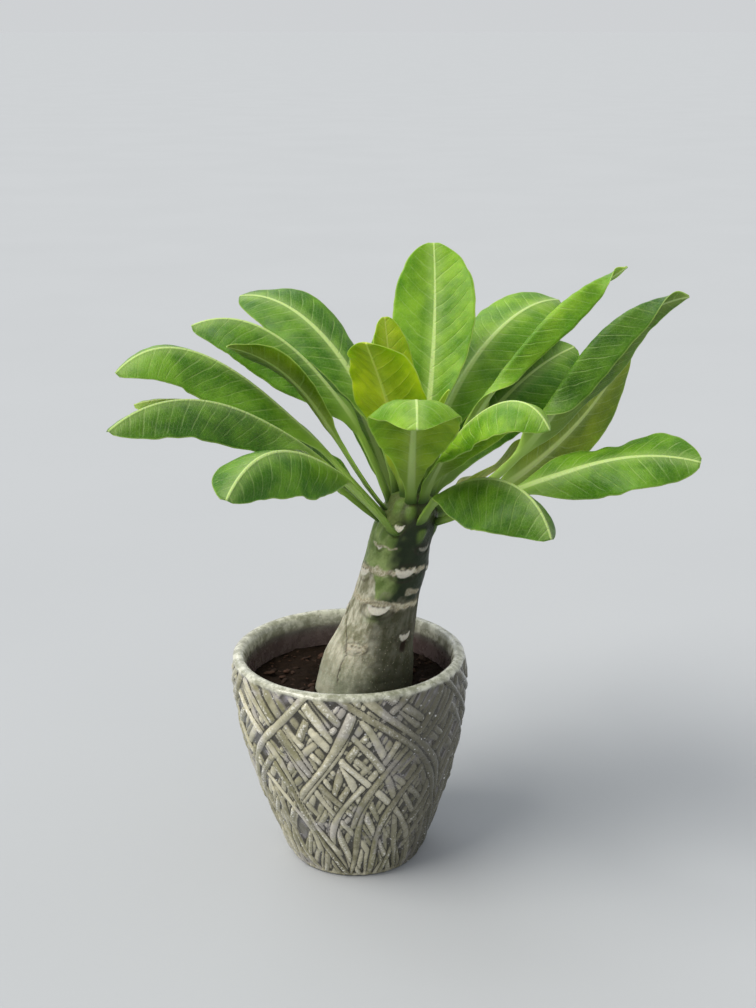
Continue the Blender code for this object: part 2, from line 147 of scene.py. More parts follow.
# Stem: (height, radius, lean towards +X), from the root end in the soil to the growing tip
STEM = [
    (53, 13, -9), (56, 19, -8.5), (71, 26, -5), (90, 29.5, 0), (103, 30, 4), (116, 29, 6),
    (129, 27.5, 8), (149, 23, 13.5), (166, 20.5, 18), (191, 19.5, 24.5), (206, 18.3, 27.5),
    (217, 17, 31), (227, 14.5, 33), (233, 9, 34), (235.5, 1.5, 34.5),
]
STEM_SIDES = 236
STEM_ROWS = 300
CROWN_HEIGHT = 235
CROWN_LEAN = 34
# Scars of fallen leaves: (direction, height of the upper edge, half width, height, paleness)
SCARS = [
    (254, 219, 2.9, 4.4, 1.0), (230, 205.5, 1.7, 2.4, 0.9), (286, 192.5, 6.2, 5.6, 0.85),
    (203, 190, 5.4, 5.4, 1.0), (257, 169.5, 6.9, 5.4, 1.0), (316, 150.5, 4.7, 5.0, 0.85),
    (242, 144.5, 5.4, 3.8, 0.3), (318, 205, 4.4, 3.4, 0.3),
    (90, 200, 5.5, 4.0, 0.9), (60, 185, 6.0, 4.4, 0.9), (130, 181, 6.0, 4.4, 0.9),
    (20, 167, 6.2, 4.6, 0.9), (165, 163, 6.2, 4.6, 0.8), (95, 153, 6.4, 4.6, 0.8),
    (350, 191, 5.5, 4.0, 0.6),
]
# Ragged rings of old leaf bases: (first direction and height, last ones, half height, paleness)
RINGS = [
    (204, 207, 268, 205, 0.7, 0.7), (184, 190, 338, 191, 2.4, 0.95), (176, 174, 350, 167, 2.3, 0.9),
    (226, 143, 262, 144, 2.4, 0.8), (296, 178, 332, 175, 2.0, 0.6), (352, 168, 470, 166, 1.8, 0.8),
    (20, 186, 140, 184, 1.6, 0.8), (60, 201, 150, 202, 0.9, 0.7), (70, 150, 190, 152, 1.6, 0.6),
]
# The crack down the left front: (height, direction)
CRACK = [
    (118, 234), (123, 232), (128, 230), (138, 232), (146, 221), (154, 204), (160, 190), (168, 181),
    (178, 177),
]
# The hollow on the right, darkened by painted shade: (direction, height, half width, half height)
HOLLOW = (317, 142.5, 3.4, 4.4)
# The lower edge of the green skin: (direction, height)
SKIN_EDGE = [
    (0, 176), (90, 178), (170, 184), (200, 191), (225, 190), (246, 175), (330, 170), (360, 176),
]
# Cushion under a stalk: (half width, reach above, reach below, lift)
LEAF_BASE = (3.7, 2.6, 7.5, 1.9)
BARK_RADIUS = 25
# Bumps round the stem: (how many round it, height of each, seed)
RAGGED, LUMPS, WRINKLES = (90, 1.4, 11), (12, 14, 12), (40, 3.2, 13)
# Shade on the right of the stem: (direction, spread) of its start and of its end
SHADE_START, SHADE_END = (240, 42), (70, 40)

# Leaf blades
STATIONS = 96
SPAN_POINTS = 37
STATION_CROWDING = 0.92
SPAN_CROWDING = 1.3
MIDRIB_STEPS = 400
TANGENT_STEP = 0.02
ROOT_SINK = 4
ROOT_HALF_WIDTH = 4
ROOT_FLARE = 0.1
STALK_HALF_WIDTH = 3
STALK_THICK = 3.4
STALK_SHARE = 0.05
BLADE_FADE_IN = 0.25
BLADE_THICK = 0.8
EDGE_THICK = 0.3
TIP_END = 0.996
TIP_HALF_WIDTH = 0.8
TIP_SQUARENESS = 2.1
TIP_FULLNESS = 0.55
FOLD = (0.15, 0.7)
FLAP_FOLD = (0.2, 0.3)
FOLD_STEPS = 20
FOLD_WIDTH = 0.8
WAVE_TURNS = 2.4
WAVE_LAG = 2.1
WAVE_EDGE = 1.5
WAVE_TIP_FADE = 0.12
WAVE_TIP_LEFT = 0.3
NARROW_HALF_WIDTH = 10
# Finer relief of the blade: ribs, quilting between the side veins, and uneven margins
RIB_ABOVE = 0.6
RIB_BELOW = 1.25
RIB_HALF_WIDTH = (3.2, 0.7)
VEIN_GAP = 9
VEIN_SLANT = 0.55
VEIN_CURVE = 0.016
VEIN_SHIFT = 0.45
QUILT = 0.34
EDGE_NICK = 1.5
EDGE_RUFFLE = 0.85
DENT = 0.35
FULL_RELIEF_WIDTH = 20
# Bumps of the margin: (length of each, place and step in the random field)
NICKS, NOTCHES, RUFFLES = (8, 20, 5), (3.4, 20, 5), (7.5, 50, 3)

# Colours of the leaves: (upper dark, upper light, under dark, under light, rib)
TONES = {
    "young": ((0.088, 0.225, 0.004), (0.225, 0.405, 0.020), (0.145, 0.255, 0.004),
              (0.300, 0.425, 0.022), (0.52, 0.67, 0.24)),
    "bright": ((0.240, 0.350, 0.002), (0.450, 0.550, 0.010), (0.255, 0.350, 0.002),
               (0.470, 0.550, 0.010), (0.56, 0.65, 0.12)),
    "mature": ((0.040, 0.132, 0.003), (0.132, 0.280, 0.014), (0.080, 0.165, 0.004),
               (0.190, 0.300, 0.015), (0.47, 0.61, 0.22)),
    "deep": ((0.024, 0.086, 0.002), (0.088, 0.200, 0.009), (0.048, 0.110, 0.002),
             (0.120, 0.205, 0.009), (0.42, 0.55, 0.20)),
    "olive": ((0.080, 0.175, 0.003), (0.205, 0.335, 0.012), (0.095, 0.160, 0.002),
              (0.215, 0.295, 0.010), (0.46, 0.57, 0.19)),
    "yellowing": ((0.30, 0.36, 0.006), (0.64, 0.58, 0.04), (0.24, 0.34, 0.006),
                  (0.46, 0.50, 0.03), (0.66, 0.60, 0.16)),
}
GLOW = {"bright": 0.5, "young": 0.36}
STALK_COLOUR = (0.30, 0.47, 0.08)
MARGIN_COLOUR = (0.42, 0.55, 0.15)
# Painted shade deep in the crown, near the roots of the leaves
CROWN_SHADE_COLOUR = (0.022, 0.060, 0.004)
JOINT_COLOUR = (0.042, 0.085, 0.018)

# Colours of the pot, the stem and the soil. A pair is the darker and the lighter one
# Painted light in the glaze: glints on the crests and among the specks, shade on the right and
# shade in the creases
GLAZE = {
    "strand": ((0.180, 0.165, 0.082), (0.68, 0.64, 0.48)),
    "cloud": (0.19, 0.185, 0.080), "lilac": (0.43, 0.40, 0.42), "crest_glint": (0.86, 0.84, 0.76),
    "shade": (0.046, 0.042, 0.020), "pool": ((0.120, 0.110, 0.075), (0.27, 0.25, 0.28)),
    "crease": (0.030, 0.026, 0.012), "lip": ((0.29, 0.295, 0.22), (0.67, 0.67, 0.57)),
    "inside": ((0.10, 0.095, 0.080), (0.22, 0.205, 0.185)),
    "low inside": ((0.060, 0.038, 0.036), (0.19, 0.145, 0.145)), "speck_and_glint": (0.74, 0.74, 0.73),
}
# Painted light in the bark: shade on the right, on the top, and in the crack and the hollow
BARK = {
    "bark": ((0.27, 0.255, 0.165), (0.66, 0.635, 0.50)),
    "stain": ((0.080, 0.085, 0.030), (0.19, 0.185, 0.080)),
    "low": ((0.17, 0.195, 0.135), (0.36, 0.385, 0.29)), "pale": (0.46, 0.44, 0.35),
    "shade": (0.026, 0.028, 0.010), "skin": ((0.120, 0.180, 0.040), (0.27, 0.35, 0.12)),
    "skin shade": (0.003, 0.011, 0.001), "top": ((0.020, 0.028, 0.008), (0.075, 0.090, 0.025)),
    "leaf base": ((0.060, 0.115, 0.015), (0.15, 0.235, 0.040)), "dot": (0.60, 0.56, 0.40),
    "ring": ((0.40, 0.35, 0.23), (0.62, 0.57, 0.43)),
    "scar": ((0.60, 0.55, 0.44), (0.86, 0.83, 0.73)), "hollow": (0.022, 0.013, 0.006),
}
SOIL = {
    "earth": ((0.004, 0.0025, 0.0016), (0.024, 0.014, 0.009)), "crumb": (0.046, 0.028, 0.018),
    "chip": ((0.009, 0.005, 0.004), (0.055, 0.025, 0.016)), "fibre": (0.070, 0.043, 0.029),
}

# What the glaze reads from the pot: height of the strands, depth of the creases, tone of the
# strand, how far inside, and whether on the lip
POT_FIELDS = ("relief", "hollow", "tone", "inside", "lip")


def leaf(azimuth, reach, height, rise, depth, half_width, tone, **more):
    """One leaf of the crown, in the same terms as in the part's source."""
    return {
        "azimuth": azimuth, "reach": reach, "height": height, "rise": rise, "depth": depth,
        "half_width": half_width, "tone": tone, "bank": (0, 0), "left": (12, 12),
        "right": (12, 12), "widest": 0.66, "taper": 1.3, "wave": 2.0, "phase": 0.5,
        "pull": (0.36, 0.36), "root_azimuth": azimuth, "tip_azimuth": azimuth,
        "stalk": STALK_SHARE, "fullness": TIP_FULLNESS, "fold": FOLD, **more,
    }


LEAVES = [
    # Left side, from the back and highest to the front and lowest
    leaf(144, 131, 103, (78, -12), 6, 22, "mature", bank=(-15, -32), left=(0, -12),
         right=(-12, -20), widest=0.70, stalk=0.20, wave=1.5, phase=0.3),
    leaf(176, 129, 97, (73, -26), 10, 28, "mature", bank=(-15, -38), left=(-8, -35),
         right=(-50, -70), widest=0.66, stalk=0.28, taper=1.1, phase=1.0, root_azimuth=173),
    leaf(203, 112, 96, (50, 14), 13, 13, "olive", bank=(10, 30), left=(10, 20),
         right=(10, 10), widest=0.76, stalk=0.35, wave=1.0, phase=2.0, root_azimuth=196),
    leaf(199, 172, 83, (47, -46), 16.2, 28, "mature", bank=(-15, -34), left=(-8, -35),
         right=(-35, -55), widest=0.64, stalk=0.28, taper=1.1, phase=0.0, root_azimuth=209),
    leaf(193, 161, 61, (38, -14), 19, 22, "olive", bank=(-8, -18), left=(-5, -20),
         right=(-30, -45), widest=0.70, stalk=0.32, taper=1.1, phase=4.0, root_azimuth=192),
    leaf(219, 200, 69, (44, -32), 20, 28, "deep", bank=(-12, -32), left=(-5, -30),
         right=(-45, -60), widest=0.68, stalk=0.34, taper=1.1, wave=3.5, phase=1.5,
         root_azimuth=229),
    leaf(240, 187, 44, (38, -46), 24, 28, "mature", bank=(-14, -36), left=(-8, -50),
         right=(-35, -55), widest=0.68, stalk=0.38, taper=1.5, phase=3.0, root_azimuth=250),
    # Middle, with the young leaves round the growing tip
    leaf(77, 60, 139, (80, 60), 4, 26, "young", left=(10, 10), right=(10, 10), widest=0.71,
         taper=2.2, wave=1.5, root_azimuth=45, tip_azimuth=95),
    leaf(150, 19, 103, (86, 80), 2, 17, "bright", wave=1.0, root_azimuth=160, tip_azimuth=120),
    leaf(238, 50, 98, (82, 56), 4, 26, "bright", left=(10, 10), right=(10, 10)),
    leaf(270, 112, 66, (60, -60), 7, 29, "young", left=(0, -45), right=(0, -45), widest=0.72,
         taper=1.7, wave=1.5),
    leaf(308, 114, 60, (75, -62), 8, 28, "young", bank=(0, 8), left=(-25, -55),
         right=(-22, -45), widest=0.68, taper=1.2, wave=1.5, tip_azimuth=325),
    leaf(335, 23, 64, (82, 70), 1.5, 7, "bright", left=(20, 20), right=(20, 20), wave=0.5),
    # Right side
    leaf(52, 160, 92, (76, -10), 7, 26, "young", bank=(10, 25), left=(-10, -20),
         right=(-5, -20)),
    leaf(20, 138, 126, (60, 26), 7, 25, "young", bank=(-60, -80), left=(30, 60),
         right=(0, -140), widest=0.72, stalk=0.2, taper=1.6, fullness=1.3, fold=FLAP_FOLD),
    leaf(41, 140, 68, (43, 8), 12, 26, "mature", bank=(10, 25), left=(5, 0), right=(-10, -30),
         widest=0.68),
    leaf(4, 161, 114, (12, 6), 13, 31, "deep", bank=(-70, -75), left=(12, 30),
         right=(0, -145), widest=0.66, stalk=0.32, wave=1.5, pull=(0.38, 0.34), fullness=1.0,
         fold=FLAP_FOLD),
    leaf(18, 138, 77, (10, 62), 17, 26, "olive", bank=(-75, -80), right=(5, 5), widest=0.64,
         stalk=0.28),
    leaf(347, 167, 28, (20, -12), 20, 24, "mature", bank=(18, 34), left=(-10, -20),
         right=(-5, -30), widest=0.70, stalk=0.30, wave=4.0),
    leaf(303, 130, 6, (66, -66), 21, 34, "deep", bank=(-3, 7), left=(-40, -75),
         right=(-27, -55), widest=0.64, stalk=0.16, taper=1.4, pull=(0.36, 0.42)),
    leaf(37, 100, 6, (20, -4), 21, 22, "yellowing", bank=(-20, -45)),
    # Back
    leaf(98, 85, 84, (74, 40), 8, 20, "mature"),
    leaf(78, 138, 46, (48, -20), 15, 22, "deep", wave=2.5),
    leaf(118, 145, 54, (50, -15), 15, 23, "mature", wave=2.5, phase=2.5),
    leaf(158, 140, 30, (34, -15), 20, 22, "deep", wave=2.5, phase=1.5),
]
# Tiny leaves that are still opening round the growing tip
BUD_LEAVES = [
    leaf(20, 7, 34, (70, 80), -1, 5, "bright", left=(35, 50), right=(35, 50), wave=0.4),
    leaf(140, 8, 30, (66, 78), -1, 4.5, "bright", left=(35, 50), right=(35, 50), wave=0.4),
    leaf(255, 8, 26, (62, 76), -1, 4.5, "bright", left=(30, 45), right=(30, 45), wave=0.4),
    leaf(80, 4, 22, (75, 84), -1, 3.5, "bright", left=(45, 60), right=(45, 60), wave=0.2),
]


def smooth_step(value):
    value = np.clip(value, 0.0, 1.0)
    return value * value * (3 - 2 * value)


def part_way(ends, share):
    """Value at this share of the way from the first end to the second."""
    return ends[0] + (ends[1] - ends[0]) * share


def heading(azimuth, rise=0):
    """Unit vector for a direction round the stem and a slope above the horizontal."""
    turn, slope = radians(azimuth), radians(rise)
    return np.array([cos(turn) * cos(slope), sin(turn) * cos(slope), sin(slope)])


def flowing(value, stops, levels):
    """Smooth curve through the stops, without the corners that straight steps would leave."""
    stops, levels = np.asarray(stops, float), np.asarray(levels, float)
    slopes = np.gradient(levels, stops)
    value = np.clip(value, stops[0], stops[-1])
    index = np.clip(np.searchsorted(stops, value) - 1, 0, len(stops) - 2)
    gap = stops[index + 1] - stops[index]
    t = (value - stops[index]) / gap
    start, end = levels[index], levels[index + 1]
    return (start * (1 + 2 * t) * (1 - t) ** 2 + end * t * t * (3 - 2 * t)
            + gap * (slopes[index] * t * (1 - t) ** 2 - slopes[index + 1] * t * t * (1 - t)))


def bumps(x, y, seed, wrap=FIELD_SIZE):
    """Smooth random bumps from -1 to 1 with cells of size 1. x repeats after wrap."""
    cells = np.random.default_rng(seed).uniform(-1, 1, (FIELD_SIZE, FIELD_SIZE))
    column, row = np.floor(x).astype(int), np.floor(y).astype(int)
    part_x, part_y = smooth_step(x - column), smooth_step(y - row)

    def across(row):
        row = row % FIELD_SIZE
        return (cells[column % wrap, row] * (1 - part_x)
                + cells[(column + 1) % wrap, row] * part_x)

    return across(row) * (1 - part_y) + across(row + 1) * part_y


def bumps_round(share, height, kind):
    """Random bumps round a wall. kind is (how many round it, height of each, seed)."""
    count, tall, seed = kind
    return bumps(share * count, height / tall, seed, count)


# Meshes


def side_by_side(*values):
    """The values for each point as the columns of one array."""
    return np.stack(np.broadcast_arrays(*values), axis=-1)


def ring_points(radius, turns, height, lean):
    """Points round an upright axis that has moved by lean towards +X at this height."""
    return side_by_side(radius * np.cos(turns) + lean, radius * np.sin(turns), height)


def tube_faces(rows, columns):
    """Faces of a tube of closed rows with a cap at each end, as lists of indices."""
    row, column = np.meshgrid(np.arange(rows - 1), np.arange(columns), indexing="ij")
    start = row * columns + column
    after = row * columns + (column + 1) % columns
    quads = np.stack([start, after, after + columns, start + columns], axis=-1)
    caps = [list(range(columns))[::-1], list(range((rows - 1) * columns, rows * columns))]
    return quads.reshape(-1, 4).tolist() + caps


def new_piece(name, points, faces, material, node=None, fields=None):
    """A smooth piece from points in millimetres that rides on the part.

    fields holds values for each point that the material reads by name.
    """
    mesh = bpy.data.meshes.new(name)
    mesh.from_pydata((np.asarray(points, float).reshape(-1, 3) * MM).tolist(), [], faces)
    for field, values in (fields or {}).items():
        values = np.asarray(values, dtype=np.float32)
        if values.shape[-1] == 3 and values.size == 3 * len(mesh.vertices):
            layer = mesh.attributes.new(field, "FLOAT_VECTOR", "POINT")
            layer.data.foreach_set("vector", values.ravel())
        else:
            layer = mesh.attributes.new(field, "FLOAT", "POINT")
            layer.data.foreach_set("value", values.ravel())
    mesh.update()
    mesh.shade_smooth()
    mesh.materials.append(material)
    piece = bpy.data.objects.new(name, mesh)
    bpy.context.scene.collection.objects.link(piece)
    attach(piece, "root")
    if node:
        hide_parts(node)


# Materials


class Graph:
    """Short calls for building a material's nodes. Values may be numbers, colours or sockets."""

    def __init__(self, name):
        self.material = bpy.data.materials.new(name)
        self.material.use_nodes = True
        self.tree = self.material.node_tree
        self.shader = self.tree.nodes["Principled BSDF"]

    def feed(self, socket, value):
        if isinstance(value, bpy.types.NodeSocket):
            self.tree.links.new(value, socket)
        elif isinstance(value, tuple) and len(value) == 3 and len(socket.default_value) == 4:
            socket.default_value = (*value, 1)
        else:
            socket.default_value = value

    def node(self, kind):
        return self.tree.nodes.new("ShaderNode" + kind)

    def fed(self, node, inputs, output=0):
        """The node's output once these inputs, by name or by place, have their values."""
        for key, value in inputs.items():
            self.feed(node.inputs[key], value)
        return node.outputs[output]

    def math(self, operation, *values):
        node = self.node("Math")
        node.operation = operation
        return self.fed(node, dict(enumerate(values)))

    def plus(self, first, second):
        return self.math("ADD", first, second)

    def minus(self, first, second):
        return self.math("SUBTRACT", first, second)

    def times(self, first, second):
        return self.math("MULTIPLY", first, second)

    def ramp(self, value, start, end, low=0.0, high=1.0):
        """Smooth change from low at start to high at end."""
        node = self.node("MapRange")
        node.interpolation_type = "SMOOTHSTEP"
        return self.fed(node, dict(enumerate((value, start, end, low, high))))

    def mix(self, share, low, high):
        node = self.node("Mix")
        node.data_type = "RGBA"
        return self.fed(node, {0: share, 6: low, 7: high}, 2)

    def coats(self, colour, *layers):
        """The colour under these layers of (cover, colour), each over those before it."""
        for cover, layer in layers:
            colour = self.mix(cover, colour, layer)
        return colour

    def field(self, name):
        """A value that the mesh holds for each point: (colour, vector, number)."""
        node = self.node("Attribute")
        node.attribute_name = name
        return node.outputs

    def split(self, vector):
        node = self.node("SeparateXYZ")
        self.feed(node.inputs[0], vector)
        return node.outputs

    def join(self, *parts):
        return self.fed(self.node("CombineXYZ"), dict(enumerate(parts)))

    def shifted(self, vector, step):
        """The same place moved by step along each axis, for a noise that differs from the first."""
        node = self.node("VectorMath")
        node.operation = "ADD"
        return self.fed(node, {0: vector, 1: (step, step, step)})

    def place(self):
        """Position on the object, in metres."""
        return self.node("TexCoord").outputs["Object"]

    def noise(self, vector, scale, detail=3.0, roughness=0.5):
        return self.fed(self.node("TexNoise"), {"Vector": vector, "Scale": scale,
                                                "Detail": detail, "Roughness": roughness})

    def cells(self, vector, scale, feature="DISTANCE_TO_EDGE"):
        node = self.node("TexVoronoi")
        node.feature = feature
        return self.fed(node, {"Vector": vector, "Scale": scale}, "Distance")

    def bump(self, height, distance):
        """Normal for a height from 0 to 1 that stands for this distance in millimetres."""
        return self.fed(self.node("Bump"), {"Height": height, "Distance": distance * MM})

    def finish(self, colour, roughness, normal=None, **settings):
        self.feed(self.shader.inputs["Base Color"], colour)
        self.feed(self.shader.inputs["Roughness"], roughness)
        if normal:
            self.feed(self.shader.inputs["Normal"], normal)
        for name, value in settings.items():
            self.shader.inputs[name.replace("_", " ")].default_value = value
        return self.material


def leaf_material(tone):
    """A living blade: pale ribs, curved side veins, a net of fine veins and a pale margin."""
    upper_dark, upper_light, under_dark, under_light, rib_colour = TONES[tone]
    graph = Graph(f"leaf_{tone}")
    mix, ramp, times, plus, minus = graph.mix, graph.ramp, graph.times, graph.plus, graph.minus
    across, along, face = graph.split(graph.field("blade")[1])
    span, share, half_width = graph.split(graph.field("place")[1])
    tint = graph.field("tint")[2]
    off_rib = graph.math("ABSOLUTE", across)
    off_middle = graph.math("ABSOLUTE", span)
    to_edge = times(minus(1.0, off_middle), half_width)
    flat = graph.join(across, along, times(tint, 40.0))

    # Side veins leave the rib at a slant and curve towards the tip
    sway = times(minus(graph.noise(flat, 0.06, 2.0), 0.5), 5.0)
    bend = plus(times(off_rib, VEIN_SLANT), times(times(off_rib, off_rib), VEIN_CURVE))
    level = plus(minus(along, bend), sway)
    side_shift = times(graph.math("GREATER_THAN", across, 0.0), VEIN_SHIFT)
    on_blade = ramp(share, 0.08, 0.26)
    reach = ramp(off_middle, 0.72, 0.97, 1.0, 0.0)

    def vein_lines(gap, width):
        phase = plus(graph.math("DIVIDE", level, gap), side_shift)
        off_line = graph.math("ABSOLUTE", minus(graph.math("FRACT", phase), 0.5))
        line = ramp(times(off_line, gap), width * 0.3, width, 1.0, 0.0)
        return times(times(line, on_blade), reach)

    broken = ramp(graph.noise(flat, 0.12, 2.0), 0.36, 0.60, 0.35, 1.0)
    veins = times(vein_lines(VEIN_GAP, 0.85), broken)
    small_veins = vein_lines(VEIN_GAP / 3, 0.34)
    net = times(ramp(graph.cells(flat, 0.42), 0.0, 0.10, 1.0, 0.0), on_blade)
    rib_width = ramp(share, -0.1, 1.0, *RIB_HALF_WIDTH)
    rib = ramp(graph.math("DIVIDE", off_rib, rib_width), 0.5, 1.05, 1.0, 0.0)

    # Colour: patches, a paler zone along the rib and near the stalk, then the veins on top, and
    # painted shade deep in the crown near the root
    patch = graph.noise(flat, 0.05, 3.0, 0.6)
    grain = graph.noise(flat, 0.9, 2.0)
    shade = plus(ramp(patch, 0.30, 0.70, -0.05, 0.90), times(grain, 0.25))
    shade = plus(minus(shade, 0.12), times(tint, 0.14))
    colour = graph.coats(
        mix(ramp(face, -0.2, 0.2), mix(shade, under_dark, under_light),
            mix(shade, upper_dark, upper_light)),
        (ramp(off_rib, 1.0, 8.0, 0.22, 0.0), rib_colour),
        (ramp(share, 0.05, 0.4, 0.35, 0.0), STALK_COLOUR),
        (times(net, 0.07), rib_colour),
        (times(small_veins, 0.04), rib_colour),
        (times(veins, 0.18), rib_colour),
        (times(rib, 0.88), rib_colour),
        (times(ramp(to_edge, 0.2, 0.95, 1.0, 0.0), 0.5), MARGIN_COLOUR),
        (ramp(share, 0.0, 0.18, 0.85, 0.0), STALK_COLOUR),
        # Painted shade deep in the crown, darkest near the root
        (ramp(along, 8.0, 52.0, 0.45, 0.0), CROWN_SHADE_COLOUR),
        (ramp(along, 4.0, 14.0, 0.9, 0.0), JOINT_COLOUR))

    # Veins are sunken above and raised below
    lines = plus(plus(veins, times(small_veins, 0.4)), times(net, 0.35))
    height = plus(times(lines, ramp(face, -0.2, 0.2, 0.5, -0.5)), times(grain, 0.2))
    roughness = plus(ramp(face, -0.2, 0.2, 0.58, 0.44), times(minus(patch, 0.5), 0.25))
    return graph.finish(colour, roughness, graph.bump(height, 0.34),
                        Subsurface_Weight=GLOW.get(tone, 0.26),
                        Subsurface_Radius=(0.6, 1.0, 0.15), Subsurface_Scale=0.0022,
                        Specular_IOR_Level=0.22)


def bark_material():
    """Green skin above, grey-tan bark below, with pale leaf scars, ragged rings and cracks."""
    graph = Graph("bark")
    mix, ramp, noise, times = graph.mix, graph.ramp, graph.noise, graph.times
    flat = graph.field("bark")[1]
    east, north, height = graph.split(flat)
    shade = graph.field("shade")[2]
    scar, ring, hollow = graph.split(graph.field("marks")[1])
    skin, base, pale = graph.split(graph.field("skin")[1])
    patch = noise(flat, 0.09, 4.0, 0.62)
    streak = noise(graph.join(east, north, times(height, 0.4)), 0.30, 4.0, 0.6)
    grain = noise(flat, 0.8, 4.0, 0.6)
    fine = noise(graph.place(), 1100.0)

    # Bark: grey-tan with olive stains, cooler and greener near the soil, with painted shade on the
    # right
    bark = graph.coats(
        mix(ramp(streak, 0.30, 0.66), *BARK["bark"]),
        (ramp(patch, 0.46, 0.62, 0.0, 0.65), mix(fine, *BARK["stain"])),
        (ramp(height, 142.0, 118.0, 0.0, 0.7), mix(grain, *BARK["low"])),
        (times(pale, 0.25), BARK["pale"]),
        (times(shade, 0.84), BARK["shade"]))

    # Skin: leaf green, turned nearly black to the right by painted shade
    green = mix(ramp(patch, 0.34, 0.64), *BARK["skin"])
    green = mix(times(shade, 0.96), green, BARK["skin shade"])

    # Over both: the shaded top, the leaf bases, pale dots low down, rings, scars, and dark marks
    # that hold painted shade in the crack and the hollow
    dots = ramp(graph.cells(flat, 0.62, "F1"), 0.10, 0.24, 1.0, 0.0)
    dots = times(times(dots, ramp(grain, 0.48, 0.58)), ramp(height, 166.0, 140.0, 0.0, 0.8))
    colour = graph.coats(
        mix(skin, bark, green),
        (ramp(height, 214.0, 227.0, 0.0, 0.7), mix(grain, *BARK["top"])),
        (ramp(base, 0.25, 0.85, 0.0, 0.8), mix(grain, *BARK["leaf base"])),
        (dots, BARK["dot"]),
        (ring, mix(ramp(grain, 0.40, 0.60), *BARK["ring"])),
        (scar, mix(fine, *BARK["scar"])),
        (hollow, BARK["hollow"]))
    relief = graph.plus(graph.plus(grain, times(fine, 0.3)), times(ring, 0.4))
    return graph.finish(colour, ramp(skin, 0.0, 1.0, 0.75, 0.45), graph.bump(relief, 0.35),
                        Subsurface_Weight=0.05, Subsurface_Scale=0.002,
                        Specular_IOR_Level=0.25)


def glaze_material():
    """Speckled glaze: olive, tan and cream on the strands, dark or lilac-grey between them."""
    graph = Graph("glaze")
    mix, ramp, noise, times, plus = graph.mix, graph.ramp, graph.noise, graph.times, graph.plus
    relief, hollow, tone, inside, lip = (graph.field(name)[2] for name in POT_FIELDS)
    place = graph.place()
    east = graph.split(place)[0]
    cloud = noise(place, 30.0, 3.0, 0.55)
    drift = noise(graph.shifted(place, 3.1), 46.0, 3.0, 0.55)
    patch = noise(place, 150.0, 4.0, 0.65)
    fine = noise(place, 700.0, 3.0, 0.6)

    # Strands: grey-tan by patches, olive clouds, lilac-grey pools, painted glints on the crests,
    # painted shade on the right
    mottle = plus(ramp(patch, 0.34, 0.64, -0.05, 0.28), times(tone, 0.75))
    # Painted glints: pale patches on the crests of the strands
    crest_glint = times(ramp(hollow, -0.35, -1.0, 0.0, 0.9), ramp(fine, 0.46, 0.62))
    ridge = graph.coats(
        mix(mottle, *GLAZE["strand"]),
        (ramp(cloud, 0.46, 0.62, 0.0, 0.45), GLAZE["cloud"]),
        (ramp(drift, 0.52, 0.62, 0.0, 0.5), GLAZE["lilac"]),
        (crest_glint, GLAZE["crest_glint"]),
        # Painted shade darkens the strands on the right side
        (ramp(east, 0.004, 0.044, 0.0, 0.88), GLAZE["shade"]))

    # Between them pools and painted shade that makes the creases nearly black, then the lip, the
    # inside and pale specks that are partly painted glints
    # Pale specks in the glaze, which also stand in as painted glints
    specks_and_glints = ramp(graph.cells(place, 300.0, "F1"), 0.12, 0.24, 1.0, 0.0)
    specks_and_glints = times(specks_and_glints, ramp(fine, 0.50, 0.60, 0.0, 0.85))
    colour = graph.coats(
        mix(ramp(drift, 0.42, 0.60), *GLAZE["pool"]),
        (ramp(relief, 0.10, 0.45), ridge),
        # Painted shade in the creases between the strands
        (ramp(hollow, 0.12, 0.72, 0.0, 0.95), GLAZE["crease"]),
        (times(lip, 0.9), mix(ramp(patch, 0.36, 0.64), *GLAZE["lip"])),
        (ramp(inside, 0.26, 0.42), mix(patch, *GLAZE["inside"])),
        (ramp(inside, 0.34, 0.58), mix(patch, *GLAZE["low inside"])),
        (times(specks_and_glints, ramp(inside, 0.05, 0.3, 1.0, 0.0)), GLAZE["speck_and_glint"]))
    height = plus(patch, times(fine, 0.5))
    return graph.finish(colour, ramp(patch, 0.3, 0.7, 0.16, 0.38), graph.bump(height, 0.4),
                        Coat_Weight=0.55, Coat_Roughness=0.10)


def soil_material():
    """Nearly black earth with slightly paler crumbs."""
    graph = Graph("soil")
    place = graph.place()
    clods = graph.noise(place, 160.0, 4.0, 0.65)
    fine = graph.noise(place, 900.0, 4.0, 0.7)
    colour = graph.mix(clods, *SOIL["earth"])
    colour = graph.mix(graph.ramp(fine, 0.55, 0.75, 0.0, 0.4), colour, SOIL["crumb"])
    height = graph.plus(clods, graph.times(fine, 0.6))
    return graph.finish(colour, 0.95, graph.bump(height, 1.2), Specular_IOR_Level=0.1)


def bark_bit_material():
    """Brown chips, each of its own shade, with paler fibres."""
    graph = Graph("bark_bits")
    fibre = graph.noise(graph.place(), 500.0, 4.0, 0.6)
    colour = graph.mix(graph.field("tint")[2], *SOIL["chip"])
    colour = graph.mix(graph.times(fibre, 0.5), colour, SOIL["fibre"])
    return graph.finish(colour, 0.85, graph.bump(fibre, 0.5), Specular_IOR_Level=0.15)


# Pot


def pot_lean(height):
    """How far the pot has moved towards +X at this height. It leans the other way."""
    return -POT_LEAN * height / POT_HEIGHT


